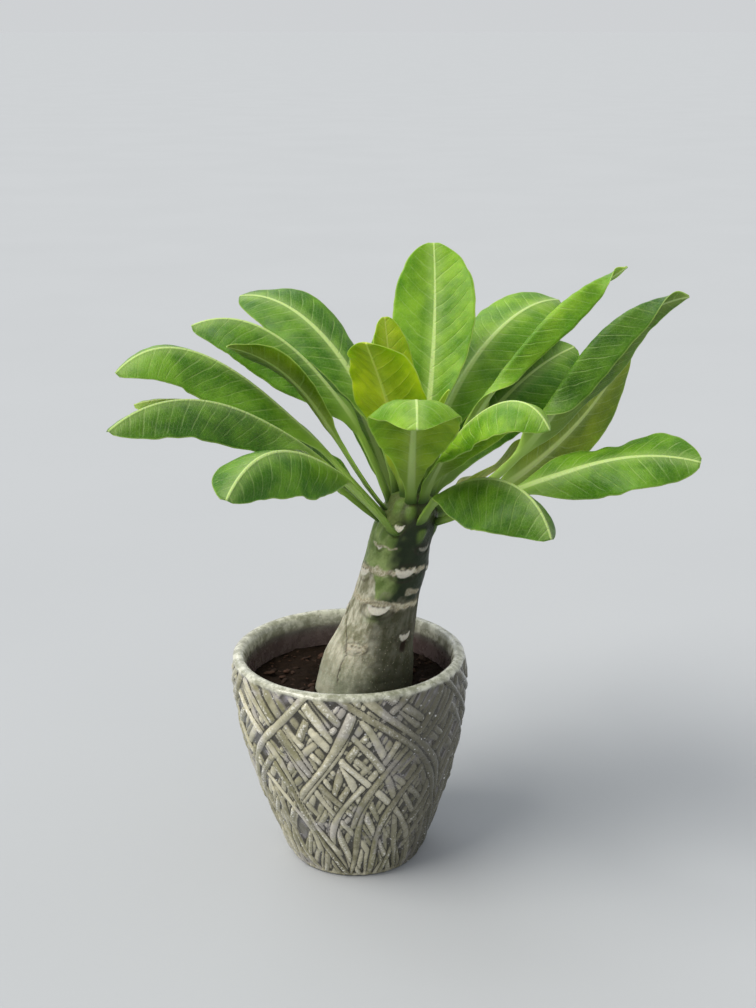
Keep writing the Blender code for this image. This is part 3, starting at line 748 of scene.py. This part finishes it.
def strand_paths(heights, radii):
    """Centre lines of the relief's strands up the wall, the lowest first.

    Each is (angles, leans, half widths, levels, ends, tone), with one value for each height but
    the tone. Over a lower layer and short strands lie pairs that leave the foot together, fan
    out to both sides and slant more towards the rim.
    """
    draw = random.Random(RELIEF_SEED)
    rise = np.gradient(heights)
    grown = heights / POT_HEIGHT
    slant = part_way(STRAND_SLANT, smooth_step(grown * SLANT_GROWTH))
    width = part_way(STRAND_HALF_WIDTH, grown)
    strands = []

    def wobble(lengths):
        return np.sin(heights / draw.uniform(*lengths) + draw.uniform(0, 6))

    def add(start, sense, first, last, wide, high=1.0):
        lean = np.radians(slant * draw.uniform(*SLANT_SPREAD)) * sense
        turn = np.cumsum(np.tan(lean) / radii * rise)
        begin = int(np.searchsorted(heights, first))
        sway = SWAY * wobble(SWAY_LENGTH)
        ends = (smooth_step((heights - first) / END_TAPER + 0.2)
                * smooth_step((last - heights) / END_TAPER + 0.2))
        weave = WEAVE * np.sin(2 * pi * heights / WEAVE_LENGTH + draw.uniform(0, 2 * pi))
        level = (RELIEF * draw.uniform(*LEVEL_SPREAD) + weave) * wide * high
        swell = 1 + SWELL * wobble(SWELL_LENGTH)
        angles = start + turn - turn[begin] + sway
        strands.append((angles, lean, width * wide * swell, level, ends, draw.random()))

    for strand in range(UNDER_STRANDS):
        start = 2 * pi * (strand + draw.uniform(-0.2, 0.2)) / UNDER_STRANDS
        sense = 1 if strand % 9 < 6 else -1
        add(start, sense, BELOW_WALL, ABOVE_WALL, draw.uniform(*UNDER_WIDTH), UNDER_LEVEL)
    for _ in range(SHORT_STRANDS):
        first = draw.uniform(*SHORT_START)
        add(draw.uniform(0, 2 * pi), draw.choice((1, -1)), first,
            first + draw.uniform(*SHORT_LENGTH), draw.uniform(*SHORT_WIDTH))
    pairs = [(pair, sense) for pair in range(STRAND_PAIRS) for sense in (1, -1)]
    draw.shuffle(pairs)
    for pair, sense in pairs:
        for member in (0, PAIR_GAP):
            start = 2 * pi * (pair + member + draw.uniform(-0.07, 0.07)) / STRAND_PAIRS
            add(start, sense, draw.choice(PAIR_STARTS), draw.choice(PAIR_ENDS),
                draw.uniform(*PAIR_WIDTH))
    return strands


def relief_field(heights, radii, turns):
    """How far the strands stand out of the recessed wall, in millimetres, and each one's tone.

    A strand lies over those before it and leaves a crease along both its sides.
    """
    field = np.zeros((len(heights), len(turns)))
    tones = np.full(field.shape, 0.5)
    for angles, lean, half_width, level, ends, tone in strand_paths(heights, radii):
        gap = (turns[None, :] - angles[:, None] + pi) % (2 * pi) - pi
        offset = np.abs(gap * (radii * np.cos(lean) / half_width)[:, None])
        round_top = np.clip(1 - offset ** 2, 0, 1) ** STRAND_ROUNDNESS
        body = level[:, None] * (STRAND_EDGE + (1 - STRAND_EDGE) * round_top)
        over = ends[:, None] * smooth_step((STRAND_REACH - offset) / STRAND_FADE)
        crease = np.clip(1 - np.abs(offset - CREASE_PLACE) / CREASE_HALF_WIDTH, 0, 1)
        field = field * (1 - over) + body * over
        field = field * (1 - CREASE_DEPTH * crease * ends[:, None])
        tones = tones * (1 - over) + tone * over
    return field, tones


def smoothed(field, passes):
    """The field averaged again and again with its neighbours, round the wall and up it."""
    for _ in range(passes):
        field = (np.roll(field, 1, axis=1) + field + np.roll(field, -1, axis=1)) / 3
        tall = np.pad(field, ((1, 1), (0, 0)), mode="edge")
        field = (tall[:-2] + tall[1:-1] + tall[2:]) / 3
    return field


def make_pot():
    """Foot, woven wall, lip and inside in one mesh, with the fields that its glaze reads."""
    turns = np.linspace(0, 2 * pi, POT_SIDES, endpoint=False)
    wall_radii, wall_heights = zip(*POT_WALL)
    heights = np.linspace(wall_heights[0], wall_heights[-1], WALL_ROWS)
    radii = flowing(heights, wall_heights, wall_radii)
    field, tones = relief_field(heights, radii, turns)
    creases = smoothed(field, CREASE_PASSES) - field
    lumps = bumps_round(turns[None, :] / (2 * pi), heights[:, None], GLAZE_BUMPS)
    woven = (smooth_step((heights[-1] - heights) / RELIEF_FADE)
             * smooth_step((heights - heights[0]) / RELIEF_FADE))[:, None]
    wall = (radii[:, None] + woven * (np.minimum(field, RELIEF * RELIEF_LIMIT) - RELIEF)
            + GLAZE_LUMP * lumps * woven)
    rings = []
    fields = {name: [] for name in POT_FIELDS}

    def add_ring(radius, height, *values):
        rings.append(ring_points(radius, turns, height, pot_lean(height)))
        for name, value in zip(POT_FIELDS, values):
            fields[name].append(value + np.zeros(POT_SIDES))

    add_ring(*POT_FOOT, 0.4, 0, 0.5, 0, 0)
    for row, height in enumerate(heights):
        plain = 1 - woven[row]
        add_ring(wall[row], height, field[row] / RELIEF * woven[row] + 0.6 * plain,
                 creases[row] * woven[row], tones[row], 0, plain * (height > POT_HEIGHT / 2))
    for radius, height in POT_LIP + POT_INSIDE:
        waver = LIP_WAVER * bumps_round(turns / (2 * pi), height, LIP_BUMPS)
        depth = POT_HEIGHT - height
        add_ring(radius + waver, height, 0.8, 0, 0.5, min(depth / INSIDE_DEPTH, 1),
                 depth < LIP_DEPTH)
    new_piece("glazed_pot", rings, tube_faces(len(rings), POT_SIDES), glaze_material(),
              "pot", fields)


# Stem


def stem_shape(height):
    """Radius and lean of the stem at these heights."""
    stops, radii, leans = zip(*STEM)
    return flowing(height, stops, radii), flowing(height, stops, leans)


def turned_from(turn, azimuth):
    """Angle from this direction, between -180 and 180."""
    return (turn - azimuth + 180) % 360 - 180


def distance_from(turn, azimuth, radius):
    """How far round the stem from this direction, in millimetres."""
    return turned_from(turn, azimuth) * np.radians(radius)[:, None]


def leaf_scars(turn, high, radius, ragged, wrinkle):
    """Pale crescents with their dots and ledges: (scar, dark marks, lift)."""
    scar, hollow, lift = np.zeros_like(high), np.zeros_like(high), np.zeros_like(high)
    for azimuth, level, half_width, tall, paleness in SCARS:
        across = distance_from(turn, azimuth, radius) + 0.3 * ragged
        up = high - level + 0.25 * wrinkle
        u = across / half_width
        # The crescent hangs between a straight ragged top and a round lower edge
        lower = -tall * np.sqrt(np.clip(1 - u * u, 0, 1))
        upper = 0.16 * tall * u * u + 0.25 * ragged
        crescent = smooth_step((up - lower) / 0.7) * smooth_step((upper - up) / 0.6)
        crescent *= np.abs(u) < 1
        scar = np.maximum(scar, paleness * crescent)
        for place in (-0.45, 0, 0.45):
            dot = np.exp(-((u - place) * 6) ** 2 - ((up - upper + 0.3) / 0.55) ** 2)
            hollow = np.maximum(hollow, 0.85 * dot)
        # A dark lens round the scar, a raised lens of bark and a ledge under it
        lens = np.hypot(u / 1.45, (up + tall / 2) / (tall * 0.95))
        hollow = np.maximum(hollow, 0.45 * np.exp(-((lens - 1) / 0.16) ** 2) * (1 - crescent))
        swell = np.exp(-u * u * 0.9 - ((up + tall * 0.5) / (tall * 0.9)) ** 2)
        under = np.exp(-((up - lower + 1.2) / 1.1) ** 2) * smooth_step((1.2 - np.abs(u)) / 0.5)
        lift += 0.9 * swell - 0.55 * under
    return scar, hollow, lift


def bark_rings(turn, high, ragged, wrinkle):
    """The ragged rings that run part of the way round the stem."""
    rings = np.zeros_like(high)
    for first, first_level, last, last_level, half_height, paleness in RINGS:
        share = ((turn - first) % 360) / (last - first)
        level = part_way((first_level, last_level), share) + 1.3 * wrinkle
        band = np.exp(-((high - level) / half_height) ** 2)
        band = band * smooth_step(share / 0.1) * smooth_step((1 - share) / 0.1)
        rings = np.maximum(rings, paleness * smooth_step((band + 0.30 * ragged - 0.22) / 0.6))
    return rings


def leaf_bases(turn, high, radius):
    """Cushions on the stem that the stalks grow from."""
    half_width, above, below, _ = LEAF_BASE
    bases = np.zeros_like(high)
    for shape in LEAVES:
        across = distance_from(turn, shape["root_azimuth"], radius)
        up = high - (CROWN_HEIGHT - shape["depth"])
        tall = np.where(up > 0, above, below)
        bases = np.maximum(bases, np.exp(-(across / half_width) ** 2 - (up / tall) ** 2))
    return bases


def make_stem():
    """The stem with its scars, rings, wrinkles, leaf bases and one long crack on its left side."""
    heights = np.linspace(STEM[0][0], STEM[-1][0], STEM_ROWS)
    turns = np.linspace(0, 360, STEM_SIDES, endpoint=False)
    radius, lean = stem_shape(heights)
    high, turn = np.meshgrid(heights, turns, indexing="ij")
    ragged, lumps, wrinkle = (bumps_round(turn / 360, high, kind)
                              for kind in (RAGGED, LUMPS, WRINKLES))
    scar, hollow, scar_lift = leaf_scars(turn, high, radius, ragged, wrinkle)
    rings = bark_rings(turn, high, ragged, wrinkle)
    bases = leaf_bases(turn, high, radius)
    lift = 0.45 * lumps + 0.16 * wrinkle + 0.07 * ragged + scar_lift + 0.3 * rings
    lift *= smooth_step((STEM[-1][0] - high) / 12)

    # The crack down the left front, and the dark hollow under the right-hand scar, both darkened by
    # painted shade
    line = np.interp(high, *zip(*CRACK))
    off_line = distance_from(turn, line + 1.5 * ragged, radius)
    in_reach = smooth_step((CRACK[-1][0] - high) / 6) * smooth_step((high - CRACK[0][0]) / 5)
    crack = np.exp(-(off_line / 0.55) ** 2) * in_reach
    azimuth, level, half_width, half_height = HOLLOW
    off_hollow = distance_from(turn, azimuth, radius) + 0.5 * ragged
    hole = np.exp(-(off_hollow / half_width) ** 2 - ((high - level) / half_height) ** 2)
    hollow = np.maximum(hollow, np.maximum(0.85 * crack, smooth_step(hole * 2 - 0.5)))
    lift -= 0.8 * crack + 1.5 * hole
    lift += LEAF_BASE[3] * bases * smooth_step((STEM[-1][0] - high) / 2)

    # Colour zones: how green the skin is, how pale left of the crack, how shaded on the right
    edge = np.interp(turn, *zip(*SKIN_EDGE))
    skin = smooth_step((high - edge + 4.5 * lumps + 2.2 * wrinkle + 1.2 * ragged) / 3 + 0.5)
    below_scar = distance_from(turn, 256, radius)
    skin = np.maximum(skin, 0.8 * np.exp(-(below_scar / 6) ** 2 - ((high - 161.5) / 2.6) ** 2))
    pale = (smooth_step(-off_line / 5) * smooth_step((176 - high) / 6)
            * smooth_step(12 + off_line / 3))
    since_start = turned_from(turn, SHADE_START[0]) + 8 * wrinkle + 14 * lumps
    shade = smooth_step(since_start / SHADE_START[1])
    shade *= smooth_step(turned_from(SHADE_END[0], turn) / SHADE_END[1])
    points = ring_points(radius[:, None] + lift, np.radians(turn), high, lean[:, None])
    fields = {"bark": ring_points(BARK_RADIUS, np.radians(turn), high, 0), "shade": shade,
              "marks": side_by_side(scar, rings, hollow),
              "skin": side_by_side(skin, bases, pale)}
    new_piece("palm_stem", points, tube_faces(STEM_ROWS, STEM_SIDES), bark_material(),
              "stem", fields)


# Soil


def soil_height(x, y):
    """Height of the soil's top: a slight mound that dips round the stem, with crumbs."""
    mound = SOIL_MOUND * (1 - np.hypot(x - pot_lean(SOIL_TOP), y) / SOIL_RIM)
    radius, lean = stem_shape(SOIL_TOP)
    mound = mound - SOIL_DIP * np.exp(-((np.hypot(x - lean, y) - radius) / SOIL_DIP_REACH) ** 2)
    crumbs = sum(weight * bumps(x / size + place, y / size + place, seed)
                 for size, place, seed, weight in SOIL_CRUMBS)
    return SOIL_TOP + mound + SOIL_CRUMB * crumbs


def make_soil():
    """The soil down to the pot's floor, with a crumbly top."""
    turns = np.linspace(0, 2 * pi, SOIL_SIDES, endpoint=False)
    points = []
    for radius, height in reversed(POT_INSIDE):
        level = height + (SOIL_GAP if height == POT_INSIDE[-1][1] else 0)
        points.append(ring_points(radius - SOIL_GAP, turns, level, pot_lean(level)))
    for share in np.linspace(1, 0.01, SOIL_RINGS):
        ring = ring_points(SOIL_RIM * share, turns, 0, pot_lean(SOIL_TOP))
        ring[:, 2] = soil_height(ring[:, 0], ring[:, 1])
        points.append(ring)
    new_piece("potting_soil", points, tube_faces(len(points), SOIL_SIDES), soil_material(),
              "soil")


def chip(draw, size):
    """A splinter of bark: a lumpy flattened block with its rings round the long axis."""
    points = []
    for ring in range(CHIP_RINGS):
        along = (ring / (CHIP_RINGS - 1) - 0.5) * 2
        girth = (1 - abs(along) ** 3) ** 0.5 * 0.8 + 0.2
        for side in range(CHIP_SIDES):
            turn = 2 * pi * side / CHIP_SIDES
            rough = girth * draw.uniform(0.75, 1.15)
            points.append((size[0] * along * draw.uniform(0.9, 1.05),
                           size[1] * rough * cos(turn), size[2] * rough * sin(turn)))
    return np.array(points)


def make_bark_bits():
    """Loose chips of bark and crumbs that lie on the soil, clear of the stem."""
    draw = random.Random(BITS_SEED)
    foot_radius, foot_lean = stem_shape(SOIL_TOP)
    points, faces, tints = [], [], []
    while len(points) < BARK_BITS:
        turn, reach = draw.uniform(0, 2 * pi), SOIL_RIM * draw.uniform(0, 0.94) ** 0.6
        x, y = reach * cos(turn) + pot_lean(SOIL_TOP), reach * sin(turn)
        off_stem = np.hypot(x - foot_lean, y) - foot_radius
        if off_stem < STEM_CLEARANCE or reach > SOIL_RIM - RIM_CLEARANCE:
            continue
        length = draw.uniform(*(LARGE_LENGTH if draw.random() < LARGE_SHARE else SMALL_LENGTH))
        shape = chip(draw, (length, length * draw.uniform(*CHIP_BREADTH),
                            length * draw.uniform(*CHIP_HEIGHT)))
        spin, tip = draw.uniform(0, 2 * pi), draw.uniform(-0.4, 0.4)
        turned = np.array([[cos(spin) * cos(tip), -sin(spin), cos(spin) * sin(tip)],
                           [sin(spin) * cos(tip), cos(spin), sin(spin) * sin(tip)],
                           [-sin(tip), 0, cos(tip)]])
        ground = soil_height(x, y)
        start = len(points) * len(shape)
        points.append(shape @ turned.T + np.array([x, y, ground + length * CHIP_LIFT]))
        faces += [[corner + start for corner in face]
                  for face in tube_faces(CHIP_RINGS, CHIP_SIDES)]
        tints.append(np.full(len(shape), draw.random()))
    new_piece("bark_bits", points, faces, bark_bit_material(), None, {"tint": tints})


# Leaves


def midrib(shape):
    """Points along the middle of the leaf and each one's share of the length, with the length."""
    height = CROWN_HEIGHT - shape["depth"]
    stops, radii, leans = zip(*STEM)
    radius, lean = np.interp(height, stops, radii), np.interp(height, stops, leans)
    root = np.array([lean, 0, height]) + (radius - ROOT_SINK) * heading(shape["root_azimuth"])
    tip = np.array([CROWN_LEAN, 0, CROWN_HEIGHT + shape["height"]])
    tip = tip + shape["reach"] * heading(shape["azimuth"])
    span = np.linalg.norm(tip - root)
    after_root = root + span * shape["pull"][0] * heading(shape["root_azimuth"], shape["rise"][0])
    before_tip = tip - span * shape["pull"][1] * heading(shape["tip_azimuth"], shape["rise"][1])
    t = np.linspace(0, 1, MIDRIB_STEPS)[:, None]
    curve = (root * (1 - t) ** 3 + 3 * after_root * (1 - t) ** 2 * t
             + 3 * before_tip * (1 - t) * t ** 2 + tip * t ** 3)
    lengths = np.concatenate([[0], np.cumsum(np.linalg.norm(np.diff(curve, axis=0), axis=1))])
    return curve, lengths / lengths[-1], lengths[-1]


def point_at(curve, shares, share):
    return np.array([np.interp(share, shares, curve[:, axis]) for axis in range(3)])


def leaf_half_width(shape, share):
    """Half the blade's width: a narrow stalk, widest past the middle, then a round tip."""
    widest, start = shape["widest"], shape["stalk"]
    if share < widest:
        reached = max(0.0, (share - start) / (widest - start))
        grown = sin(pi / 2 * reached) ** shape["taper"]
        stalk = min(STALK_HALF_WIDTH, shape["half_width"] * 0.5)
        flare = (ROOT_HALF_WIDTH - STALK_HALF_WIDTH) * max(0.0, 1 - share / ROOT_FLARE)
        return stalk + flare + (shape["half_width"] - stalk) * grown
    past = (share - widest) / (1 - widest)
    rounded = (1 - past ** TIP_SQUARENESS) ** shape["fullness"]
    return max(shape["half_width"] * rounded, TIP_HALF_WIDTH)


def across_blade(shape, share, across, half_width, blade):
    """Sideways and upward offsets of the points across the blade here, and the slopes there."""
    inner, outer = (np.where(across > 0, shape["left"][end], shape["right"][end])
                    for end in (0, 1))
    grown = smooth_step(half_width / (FOLD_WIDTH * shape["half_width"]))
    outer = part_way((inner, outer), grown)
    start, length = shape["fold"]

    def slope(place, first, last):
        return np.radians(part_way((first, last), smooth_step((place - start) / length))) * blade

    steps = (np.arange(FOLD_STEPS) + 0.5) / FOLD_STEPS * np.abs(across)[:, None]
    slopes = slope(steps, inner[:, None], outer[:, None])
    phase = shape["phase"] + np.where(across > 0, 0, WAVE_LAG)
    ripple = np.sin(2 * pi * WAVE_TURNS * share + phase) * np.abs(across) ** WAVE_EDGE
    ripple *= shape["wave"] * blade * smooth_step((1 - share) / WAVE_TIP_FADE + WAVE_TIP_LEFT)
    room = smooth_step(half_width / NARROW_HALF_WIDTH)
    ripple *= room
    tilt = slope(np.abs(across), inner, outer) * np.sign(across) * room
    sideways = half_width * across * np.cos(slopes).mean(axis=1) - ripple * np.sin(tilt)
    lift = half_width * np.abs(across) * np.sin(slopes).mean(axis=1) + ripple * np.cos(tilt)
    return sideways, lift, tilt


def leaf_frame(shape, curve, shares, share):
    """Place on the midrib, and the blade's sideways and upward directions there."""
    place = point_at(curve, shares, share)
    ahead = point_at(curve, shares, min(share + TANGENT_STEP, 1))
    along = ahead - point_at(curve, shares, max(share - TANGENT_STEP, 0))
    along /= np.linalg.norm(along)
    side = heading(part_way((shape["root_azimuth"], shape["tip_azimuth"]), share) + 90)
    side = side - side.dot(along) * along
    side /= np.linalg.norm(side)
    up = np.cross(along, side)
    bank = radians(part_way(shape["bank"], share))
    return place, side * cos(bank) + up * sin(bank), up * cos(bank) - side * sin(bank)


def edge_bumps(across, along, kind, seed):
    """Random bumps along the margins. kind is (length of each, place and step in the field)."""
    length, place, step = kind
    return bumps(np.sign(across) * step + place, along / length, seed)


def make_leaf(name, shape, material, seed, node=None):
    """One leaf: its blade's two faces, with ribs, quilting between the veins and a wavy margin."""
    curve, shares, length = midrib(shape)
    size = min(1.0, shape["half_width"] / FULL_RELIEF_WIDTH)
    spread = np.linspace(-1, 1, SPAN_POINTS)
    across = np.sign(spread) * np.abs(spread) ** SPAN_CROWDING
    off_middle = np.abs(across)
    order = [*range(SPAN_POINTS), *reversed(range(SPAN_POINTS))]
    face = np.repeat((1.0, -1.0), SPAN_POINTS)
    points, blade_field, place_field = [], [], []
    for share in TIP_END * np.linspace(0, 1, STATIONS) ** STATION_CROWDING:
        place, side, up = leaf_frame(shape, curve, shares, share)
        blade = float(smooth_step((share - shape["stalk"]) / BLADE_FADE_IN))
        grown = (share - shape["stalk"]) / (1 - shape["stalk"])
        along = share * length

        # The margin's nicks and slow waves
        half_width = leaf_half_width(shape, share)
        nick = edge_bumps(across, along, NICKS, seed)
        notch = edge_bumps(across, along, NOTCHES, seed + 3)
        cut = EDGE_NICK * blade * (0.5 + 0.36 * nick + 0.14 * notch)
        half_width = half_width - cut * min(1.0, half_width / NARROW_HALF_WIDTH)
        sideways, lift, tilt = across_blade(shape, share, across, half_width.mean(), blade)
        sideways = sideways * half_width / half_width.mean()

        # The face: quilted between the side veins, ruffled at the margin and slightly dented
        off_rib = off_middle * half_width
        level = along - VEIN_SLANT * off_rib - VEIN_CURVE * off_rib ** 2
        phase = level / VEIN_GAP + np.where(across > 0, VEIN_SHIFT, 0)
        swell = -0.5 * np.cos(2 * pi * (phase - 0.5))
        on_face = smooth_step(off_rib / 6) * smooth_step((1 - off_middle) / 0.25) * blade
        ruffle = edge_bumps(across, along, RUFFLES, seed + 1)
        dent = bumps(sideways / 13 + 30, along / 16, seed + 2)
        fine = size * (EDGE_RUFFLE * ruffle * off_middle ** 4
                       + (DENT * dent + QUILT * swell) * on_face)
        middle = place + side * sideways[:, None] + up * (lift + fine)[:, None]

        # Its thickness, with the rib on both faces
        rib = np.exp(-(off_rib / part_way(RIB_HALF_WIDTH, share)) ** 2) * blade * size
        stalk_half = STALK_THICK / 2 * size * np.sqrt(np.clip(1 - across ** 2, 0, 1))
        sheet = part_way((EDGE_THICK, BLADE_THICK), 1 - across ** 2)
        thick = part_way((stalk_half, sheet / 2), blade)
        above = thick + RIB_ABOVE * rib * (1 - 0.6 * share)
        below = thick + RIB_BELOW * rib * (1 - 0.8 * share)
        outward = up * np.cos(tilt)[:, None] - side * np.sin(tilt)[:, None]
        upper = middle + outward * above[:, None]
        lower = middle - outward * below[:, None]
        points.append(np.concatenate([upper, lower[::-1]]))
        blade_field.append(side_by_side((across * half_width)[order], along, face))
        place_field.append(side_by_side(across[order], grown, half_width[order]))
    low, high = (np.array(tuple(corner)) / MM for corner in CAD_BOX)
    points = np.clip(points, low, high)
    faces = [corners[::-1] for corners in tube_faces(STATIONS, len(order))]
    tint = random.Random(seed).uniform(-1, 1)
    fields = {"blade": blade_field, "place": place_field,
              "tint": np.full(STATIONS * len(order), tint)}
    new_piece(name, points, faces, material, node, fields)


def make_leaves():
    materials = {tone: leaf_material(tone) for tone in TONES}
    for number, shape in enumerate(LEAVES, start=1):
        make_leaf(f"palm_leaf_{number:02d}", shape, materials[shape["tone"]], 100 + 7 * number,
                  f"leaf_{number:02d}")
    for number, shape in enumerate(BUD_LEAVES, start=1):
        make_leaf(f"bud_leaf_{number}", shape, materials[shape["tone"]], 500 + 7 * number)


# Studio


def make_studio():
    """The camera, the two suns and the even surround."""
    scene = bpy.context.scene
    lens = bpy.data.cameras.new("camera")
    lens.sensor_width = SENSOR
    lens.lens = SENSOR * FOCAL_PIXELS / PHOTO_HEIGHT
    lens.clip_end = FLOOR_SPAN * MM
    camera = bpy.data.objects.new("camera", lens)
    camera.location = [value * MM for value in CAMERA_PLACE]
    camera.rotation_euler = (radians(90 - CAMERA_TILT), 0, 0)
    scene.collection.objects.link(camera)
    scene.camera = camera
    for name, source, strength, softness, colour in SUNS:
        lamp = bpy.data.lights.new(name, "SUN")
        lamp.energy = strength
        lamp.angle = radians(softness)
        lamp.color = colour
        holder = bpy.data.objects.new(name, lamp)
        holder.rotation_euler = Vector(source).to_track_quat("Z", "Y").to_euler()
        scene.collection.objects.link(holder)
    world = bpy.data.worlds.new("studio")
    world.use_nodes = True
    background = world.node_tree.nodes["Background"]
    background.inputs["Color"].default_value = (*WORLD_COLOUR, 1)
    background.inputs["Strength"].default_value = WORLD_STRENGTH
    scene.world = world
    scene.view_settings.view_transform = "Standard"


def make_floor():
    """A plain pale floor, very slightly clouded."""
    graph = Graph("floor")
    cloud = graph.noise(graph.place(), 3.0)
    colour = graph.mix(cloud, FLOOR_COLOUR, tuple(value * FLOOR_CLOUD for value in FLOOR_COLOUR))
    graph.finish(colour, 1.0, Specular_IOR_Level=0.0)
    bpy.ops.mesh.primitive_plane_add(size=FLOOR_SPAN * MM)
    floor = bpy.context.object
    floor.name = "floor"
    floor.data.materials.append(graph.material)


make_studio()
make_floor()
make_pot()
make_soil()
make_bark_bits()
make_stem()
make_leaves()
